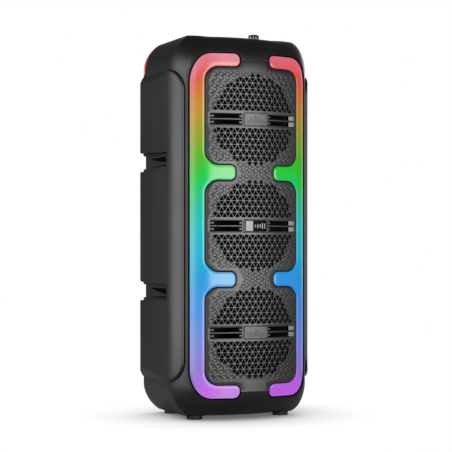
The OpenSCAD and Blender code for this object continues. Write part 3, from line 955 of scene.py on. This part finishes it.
def add_panel_rim(shape, outline):
    """The panel's edge, rounded over but for the seams at its ends."""
    rings = []
    for distance, depth in ((0, PANEL_T), (0, 0.55), (0.15, 0.18), (PANEL_ROUND, 0)):
        ring = inset(outline, distance)
        flush = [depth if abs(z) < PANEL_H - 1 or depth > 1 else 0 for _, z in ring]
        rings.append(shape.add([on_panel(s, z, d) for (s, z), d in zip(ring, flush)]))
    shape.stack(rings)


def add_slot_wall(shape, loop):
    steps = ((0, PANEL_T), (0, 0.7), (-0.2, 0.2), (-SLOT_ROUND, 0))
    shape.stack([shape.add([on_panel(s, z, depth) for s, z in inset(loop, far)]) for far, depth in steps])


def add_lattice():
    shape = Shape()
    outline = panel_outline()
    cells = kept_cells(outline)
    for corners, is_open in cells:
        add_cell(shape, corners, is_open)
    add_panel_rim(shape, outline)
    slots = slot_loops()
    for loop in slots:
        add_slot_wall(shape, loop)
    borders, in_cell = cell_borders(cells), cell_test(cells)
    wide = [inset(loop, -SLOT_ROUND) for loop in slots]
    fill(shape, on_panel, inset(outline, PANEL_ROUND), wide, borders, drop=in_cell)
    fill(shape, lambda s, z: on_panel(s, z, PANEL_T), outline, slots, borders, drop=in_cell)
    piece = shape.piece("lattice_panel", "lattice", sharp=55)
    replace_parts(piece, "grille")
    add_slot_ends()


# ---- rails and side panels ----


def on_side(side):
    return lambda s, z, t=0.0: wrap(side * s, z, t)


def rail_edge(gap=0.0):
    """A rail's front edge from top to bottom, grown by a gap, in arc length and height."""
    turn_z, turn_r = PANEL_H_SIDE - RAIL_DEPTH, RAIL_DEPTH + gap
    upper = arc(RAIL_BACK, MID_Z + turn_z, turn_r, 90, 180, 6)
    lower = arc(RAIL_BACK, MID_Z - turn_z, turn_r, 180, 270, 6)
    return [(run_at_y(y), z) for y, z in upper + lower]


def add_rail(side, name):
    shape = Shape()
    profile = [(0, 2.4), *[(i, d - RAIL_OUT) for i, d in soft_edge(3.2, 2.4, 7)]]
    plate(shape, tidy_loop(rail_edge(), 4.0), profile, on_side(side), spacing=6)
    piece = shape.piece(name + "_cover", "side_rail", sharp=50)
    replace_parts(piece, name)


def on_bevelled_side(side):
    """The side wall's outside, where what stands proud is bevelled off at the top and bottom."""
    front = run_at_y(PART_Y)

    def place(s, z, t=0.0):
        part = min(max((PANEL_H_SIDE - abs(z - MID_Z)) / BEVEL_H, 0), 1)
        proud = BEVEL_END + (PANEL_OUT - BEVEL_END) * part
        lead = FRONT_PROUD + (s - front) * FRONT_SLOPE
        return wrap(side * s, z, max(t, -min(proud, lead)))
    return place


def side_panel_outline(front, back):
    """A side panel's edge with its two notches, in arc length and height."""
    inner = run_at_y(PART_Y + NOTCH_WALL)
    low, high = MID_Z - PANEL_H_SIDE, MID_Z + PANEL_H_SIDE
    points, radii = [(front, low), (back, low)], [0.6, 4]
    for way in (-1, 1):
        z = MID_Z + way * NOTCH_Z
        points += [(back, z - NOTCH_BACK), (inner, z - NOTCH_FRONT), (inner, z + NOTCH_FRONT),
                   (back, z + NOTCH_BACK)]
        radii += [2.5, 1.0, 1.0, 2.5]
    points += [(back, high), (front, high)]
    return tidy_loop(rounded(points, radii + [4, 0.6]), 4.0)


def add_side_panel(side, name):
    front, back = run_at_y(PART_Y + PANEL_GAP), run_at_y(BACK_Y - 0.6)
    folds = []
    for way in (-1, 1):
        z = MID_Z + way * (PANEL_H_SIDE - BEVEL_H)
        ends = (front + 1.5, z), (back - 1.5, z)
        folds.append([*cut(*ends, 14), ends[1]])
    shape = Shape()
    profile = [(0, 0.3), *[(i, d - PANEL_OUT) for i, d in soft_edge(1.3, 1.3, 4)]]
    outline = side_panel_outline(front, back)
    plate(shape, outline, profile, on_bevelled_side(side), spacing=7, edges=folds)
    piece = shape.piece(name + "_cover", "housing", sharp=30)
    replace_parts(piece, name)


def add_notch_shadows(side, word):
    """Near-black sheets in the side notches: painted shadow along the panel's edge and on the notch floor."""
    shape = Shape()
    for way in (-1, 1):
        for outline, depth in NOTCH_SHADOWS:
            loop = [(run_at_y(y), MID_Z + way * NOTCH_Z + up) for y, up in outline]
            plate(shape, tidy_loop(loop, 5.0), [(0, depth + 0.3), (0, depth - 0.15)], on_side(side))
    shape.piece("notch_shadows_" + word, "housing", "shadow_sheet")


# ---- the badges ----


def add_block(shape, x0, x1, z0, z1, low, high, radius=0.5):
    """A small raised block with softened edges on the lattice panel's face."""
    profile = [(0, low), (0, high + 0.15), (0.08, high + 0.04), (0.2, high)]
    plate(shape, soft_box(x0, x1, z0, z1, radius, 2.5), profile, on_panel)


def badge_plate(middle):
    """A badge's plate with its raised rim round a sunk field."""
    shape = Shape()
    half_w, half_h = BADGE_W / 2, BADGE_H / 2
    outline = soft_box(-half_w, half_w, middle - half_h, middle + half_h, BADGE_R, 2.5, 12)
    profile = [(0, 0.2), *[(i, depth - BADGE_OUT) for i, depth in BADGE_RIM]]
    plate(shape, outline, profile, on_panel, spacing=4)
    return shape


def add_plain_badge(word, middle):
    """The upper or lower badge, with raised bars in its field."""
    shape = badge_plate(middle)
    field = BADGE_SINK - BADGE_OUT
    for k, tall in enumerate(EQUALISER):
        x = (k - (len(EQUALISER) - 1) / 2) * BAR_PITCH
        foot = middle + BAR_FOOT
        add_block(shape, x - BAR_HALF_W, x + BAR_HALF_W, foot, foot + tall, 0.2 + field, field - 0.6)
    piece = shape.piece("badge_" + word + "_face", "badge_plain", sharp=50)
    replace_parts(piece, "badge_" + word)


def add_middle_badge():
    """A glossy face in a plain rim, with a silver mark of a block and bars."""
    badge_plate(0).piece("badge_mid_rim", "badge_plain", sharp=50)
    face, mark = Shape(), Shape()
    half_w, half_h = BADGE_W / 2 - FACE_MARGIN, BADGE_H / 2 - FACE_MARGIN
    add_block(face, -half_w, half_w, -half_h, half_h, 0.4, 0.6 - BADGE_OUT, 1.6)
    piece = face.piece("badge_mid_face", "badge_gloss", sharp=50)
    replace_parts(piece, "badge_mid")
    field = MARK_SINK - BADGE_OUT
    add_block(mark, *MARK_BLOCK, 0.3 + field, field - 0.35, 1.2)
    for k, tall in enumerate(MARK_BARS):
        x, half = MARK_X + k * MARK_PITCH, tall / 2.4
        add_block(mark, x - MARK_HALF_W, x + MARK_HALF_W, -half, half, 0.3 + field, field - 0.3, 0.3)
    piece = mark.piece("badge_mark", "badge_inlay", sharp=50)
    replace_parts(piece, "badge_mid_inlay")


# ---- the volume knob ----


knob_low, knob_high = box_mm("volume_knob")
KNOB_MIDDLE = (knob_low + knob_high) / 2
KNOB_R = (knob_high.x - knob_low.x) / 2
KNOB_BASE = knob_high.z - KNOB_H
KNOB_CORE = KNOB_R - KNOB_RIB


def on_knob(x, y, up):
    return Vector((KNOB_MIDDLE.x + x, KNOB_MIDDLE.y + y, KNOB_BASE + up))


def knob_piece(shape, word, slot, sharp=40):
    return shape.piece("volume_knob_" + word, slot, body="knob_body", sharp=sharp)


def add_knob_cap():
    """The knob's bright core, turned round its axis from (radius, height) steps."""
    steps = ((SHAFT_R, knob_low.z - KNOB_BASE), (SHAFT_R, 0), (KNOB_R, 0), (KNOB_R, 1.4), (KNOB_R - 0.3, 1.7),
             (KNOB_CORE, 1.8), (KNOB_CORE, KNOB_H - 1.2), (KNOB_CORE - 0.3, KNOB_H - 0.5),
             (KNOB_CORE - 1.0, KNOB_H - 0.1), (KNOB_CORE - 1.8, KNOB_H))
    shape = Shape()
    angles = [2 * math.pi * k / 96 for k in range(96)]
    rings = [shape.add([on_knob(*polar(0, 0, r, a), up) for a in angles]) for r, up in steps]
    shape.stack(rings)
    shape.fan(rings[0], on_knob(0, 0, steps[0][1]))
    shape.fan(rings[-1], on_knob(0, 0, KNOB_H))
    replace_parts(knob_piece(shape, "cap", "knob_metal", 35), "volume_knob")


def add_knob_ribs():
    """Dark round-nosed ribs that stand round the core."""
    shape = Shape()
    root = KNOB_CORE - RIB_ROOT
    for k in range(KNOB_RIBS):
        a = 2 * math.pi * (k + 0.5) / KNOB_RIBS
        rings = []
        for up, back in RIB_STEPS:
            ring = []
            for turn in (math.pi * j / 8 for j in range(9)):
                out = root + (KNOB_R - root - back) * math.sin(turn) ** 0.5
                side = -KNOB_RIB_W / 2 * math.cos(turn)
                x, y = out * math.cos(a) - side * math.sin(a), out * math.sin(a) + side * math.cos(a)
                ring.append(on_knob(x, y, up))
            rings.append(shape.add(ring))
        shape.tube(rings)
    knob_piece(shape, "ribs", "gloss_black")


def add_knob_pointer():
    shape = Shape()
    shape.tube([shape.add([on_knob(x, y, KNOB_H - deep) for x, y in POINTER]) for deep in (0.5, 0.02)])
    knob_piece(shape, "pointer", "gloss_black")


# ---- the front housing ----


def outline_x(z):
    """Half the width of the cabinet's front view at height z."""
    over = min(max(abs(z - MID_Z) - FLAT_Z, 0), EDGE_R)
    return ARC_X + math.sqrt(ARC_R * ARC_R - over * over)


def last_run(z):
    """The arc length at which the front meets the parting line or the side arcs at height z."""
    low, high = 0.0, CORNER_S
    for _ in range(30):
        s = (low + high) / 2
        p = on_shell(s, z)
        if p.x >= outline_x(z) or p.y >= PART_Y:
            high = s
        else:
            low = s
    return low


def front_boundary():
    """The front housing's edge, from the bottom of the right side round to the bottom again."""
    ends = [HALF_H - EDGE_R * (1 - math.cos(math.pi / 2 * k / 24)) for k in range(24)]
    heights = [MID_Z - up for up in ends]
    heights += list(np.linspace(MID_Z - FLAT_Z, MID_Z + FLAT_Z, 108))
    heights += [MID_Z + up for up in reversed(ends)]
    right = [(last_run(z), z) for z in heights]
    top = right[-1][0]
    across = [(top * (1 - 2 * k / 48), MID_Z + HALF_H) for k in range(1, 48)]
    left = [(-s, z) for s, z in reversed(right)]
    below = [(-s, 2 * MID_Z - z) for s, z in across]
    return right + across + left + below


def front_openings():
    """The one opening that both diffusers and the lattice panel share."""
    gap = LENS_GAP + SEAT_GAP
    right = [
        *outer_corner(gap, gap),
        *arc(NECK_END_W + TIP_R, LENS_H - TIP_R, TIP_R + gap, 90, 180),
        (NECK_END_W - gap, PANEL_H + NECK_SEAM),
    ]
    over = right + [(-x, z) for x, z in reversed(right)]
    under = [(-x, -z) for x, z in over]
    return tidy_loop([(x, FACE_Z + z) for x, z in over + under], 3.0)


def carve(shape, ids, flat):
    """Sinks the groove round each rail into the front housing."""
    gaps, shares = zip(*GROOVE_STEPS)
    for i, (s, z) in zip(ids, flat):
        if abs(s) < BOW_S:
            continue
        plan_y = CORNER_Y - CORNER_R * math.cos(TURN + (abs(s) - BOW_S) / CORNER_R)
        over = max(abs(z - MID_Z) - (PANEL_H_SIDE - RAIL_DEPTH), 0)
        share = float(np.interp(math.hypot(RAIL_BACK - plan_y, over) - RAIL_DEPTH, gaps, shares))
        if share > 0:
            shape.points[i] = on_shell(s, z, GROOVE * share)


def add_opening_edge(shape, hole):
    """The wall of the opening, rounded over but for the seams at the panel's ends."""
    rings = []
    for distance, depth in ((0, 2.6), (0, 0.35), (-0.12, 0.1), (-OPENING_ROUND, 0)):
        ring = inset(hole, distance)
        seam = [abs(x) < NECK_END_W - 3 and abs(z - FACE_Z) < PANEL_H + 1 for x, z in ring]
        flush = [0 if at and depth < 1 else depth for at in seam]
        rings.append(shape.add([on_face(x, z, d) for (x, z), d in zip(ring, flush)]))
    shape.stack(rings)


def groove_lines(rim):
    """The lines along which the grooves are folded, where they are clear of the housing's edge."""
    lines = []
    for side, (gap, _) in itertools.product((-1, 1), GROOVE_STEPS):
        line = tidy_line([(side * s, z) for s, z in rail_edge(gap)], 2.5)
        lines.append([p for p, away in zip(line, nearest(line, rim)) if away > 0.3])
    return lines


def add_front_housing():
    """One skin over the bow, its rounded corners and the arcs of the sides, with a wall's thickness."""
    shape = Shape()
    rim = front_boundary()
    edge = [on_shell(s, z) for s, z in rim]
    shape.bridge(shape.add(edge), shape.add([Vector((p.x, PART_Y, p.z)) for p in edge]))
    hole = front_openings()
    add_opening_edge(shape, hole)
    wide = [(face_run(x, z), z) for x, z in inset(hole, -OPENING_ROUND)]
    extra = grid_inside(rim, 4.0, 1.6)
    grooves = groove_lines(rim)
    far = nearest(extra, wide) > 1.6
    for line in grooves:
        far &= nearest(extra, line) > 0.8
    extra = [p for p, clear in zip(extra, far) if clear]
    ids, flat = fill(shape, on_shell, rim, [wide], edges=grooves, extra=extra)
    carve(shape, ids, flat)
    piece = shape.piece("front_shell", "housing", sharp=28)
    wall = piece.modifiers.new("wall", "SOLIDIFY")
    wall.thickness = WALL * MM
    wall.offset = -1
    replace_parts(piece, "front_housing")


for side, word in ((-1, "left"), (1, "right")):
    add_diffuser(side, "lens_" + word)
    add_rail(side, "rail_" + word)
    add_side_panel(side, "side_panel_" + word)
    add_notch_shadows(side, word)
add_lattice()
add_front_housing()
add_plain_badge("top", PITCH)
add_plain_badge("low", -PITCH)
add_middle_badge()
add_knob_cap()
add_knob_ribs()
add_knob_pointer()

# ---- the stage: floor, light and camera ----

CAMERA_AT = (-0.8298, -1.8184, 0.231)
CAMERA_AZIMUTH = -24.3
LENS_LENGTH = 114.5
LENS_SHIFT = 0.0509
# How far the floor's painted shadow reaches and how dark it makes the floor by how open it is, and how much of
# the floor's glow lights the speaker
SHADOW_REACH = 0.11
FLOOR_SHADE = ((0.0, 0.12), (0.45, 0.55), (0.75, 0.86), (0.97, 1.0), (1.0, 1.0))
FLOOR_BOUNCE = 0.3
FLOOR_R = 0.75
# The studio's soft lights from the left, front, right and back: direction, strength, and
# stops from 0 behind to 1 ahead
LIGHTS = (
    ((-0.999, -0.035, 0), 4.2,
     ((0.0, 0.0), (1.0, 1.0), (0.6, 0.01), (0.8, 0.04), (0.9, 0.15), (0.94, 0.92), (0.985, 0.95))),
    ((0.13, -0.99, 0), 8.0,
     ((0.0, 0.0), (1.0, 0.75), (0.8, 0.0), (0.9, 0.02), (0.93, 0.12), (0.955, 0.6), (0.975, 1.0))),
    ((0.82, -0.57, 0), 0.45, ((0.0, 0.0), (1.0, 1.0), (0.85, 0.0), (0.95, 0.5))),
    ((0.64, 0.77, 0), 3.0, ((0.0, 0.0), (1.0, 1.0), (0.91, 0.0), (0.96, 0.5))),
)
# The lights' share by height, from 0 straight down to 1 straight up, and the light from all round
HEIGHT_STOPS = ((0.0, 0.2), (1.0, 0.0), (0.35, 0.8), (0.42, 1.0), (0.55, 1.0), (0.62, 0.6), (0.7, 0.1),
                (0.8, 0.0))
FILL_LIGHT = 0.08


def add_camera():
    data = bpy.data.cameras.new("camera")
    data.lens = LENS_LENGTH
    data.shift_y = LENS_SHIFT
    camera = bpy.data.objects.new("camera", data)
    camera.location = CAMERA_AT
    camera.rotation_euler = (math.radians(90), 0, math.radians(CAMERA_AZIMUTH))
    bpy.context.scene.collection.objects.link(camera)
    bpy.context.scene.camera = camera


def along(tree, source, direction):
    """The dot product with a direction, from 0 behind to 1 ahead."""
    node = tree.nodes.new("ShaderNodeVectorMath")
    node.operation = "DOT_PRODUCT"
    tree.links.new(source, node.inputs[0])
    node.inputs[1].default_value = Vector(direction).normalized()
    return ranged(tree, node.outputs["Value"], 0, 1, -1, 1)


def is_camera_ray(tree):
    return add_node(tree, "LightPath", {}).outputs["Is Camera Ray"]


def floor_glow_with_shadow():
    """A glowing white floor with painted shadow, its glow dimmed by ambient occlusion where something stands
    close, which lights the speaker less than it shows.
    """
    material, tree = new_material("floor_glow_with_shadow")
    # Painted shadow: ambient occlusion dims the floor's glow near the speaker
    shade = add_node(tree, "AmbientOcclusion", {"Distance": SHADOW_REACH})
    shade.samples = 16
    seen = shaped(tree, shade.outputs["AO"], FLOOR_SHADE)
    bounce = worked(tree, "MULTIPLY", seen, FLOOR_BOUNCE)
    shown = add_node(tree, "Mix", {"Factor": is_camera_ray(tree), "A": bounce, "B": seen})
    dress(tree, {
        "Base Color": grey(0),
        "Roughness": 1.0,
        "Specular IOR Level": 0.0,
        "Emission Color": grey(1),
        "Emission Strength": shown.outputs["Result"],
    })
    return material


def add_floor():
    mesh = bpy.data.meshes.new("floor")
    rim = arc(0, 0, FLOOR_R, 0, 360, 7.5)[:-1]
    mesh.from_pydata([(x, y, 0) for x, y in rim], [], [tuple(range(len(rim)))])
    mesh.materials.append(floor_glow_with_shadow())
    floor = bpy.data.objects.new("floor", mesh)
    bpy.context.scene.collection.objects.link(floor)


def add_world():
    """White behind the speaker, and for its own reflections soft lights from four sides."""
    world = bpy.data.worlds.new("studio")
    world.use_nodes = True
    tree = world.node_tree
    way = coordinates(tree, "Generated")
    around = 0.0
    for direction, strength, stops in LIGHTS:
        light = worked(tree, "MULTIPLY", shaped(tree, along(tree, way, direction), stops), strength)
        around = worked(tree, "ADD", light, around)
    key = worked(tree, "MULTIPLY", around, shaped(tree, along(tree, way, (0, 0, 1)), HEIGHT_STOPS))
    strength = worked(tree, "ADD", key, FILL_LIGHT)
    lit = add_node(tree, "Background", {"Color": grey(1), "Strength": strength})
    seen = add_node(tree, "Background", {"Color": grey(1)})
    mix = add_node(tree, "MixShader", {"Fac": is_camera_ray(tree)})
    tree.links.new(lit.outputs["Background"], mix.inputs[1])
    tree.links.new(seen.outputs["Background"], mix.inputs[2])
    tree.links.new(mix.outputs["Shader"], tree.nodes["World Output"].inputs["Surface"])
    bpy.context.scene.world = world


add_camera()
add_world()
add_floor()
bpy.context.scene.view_settings.view_transform = "Standard"
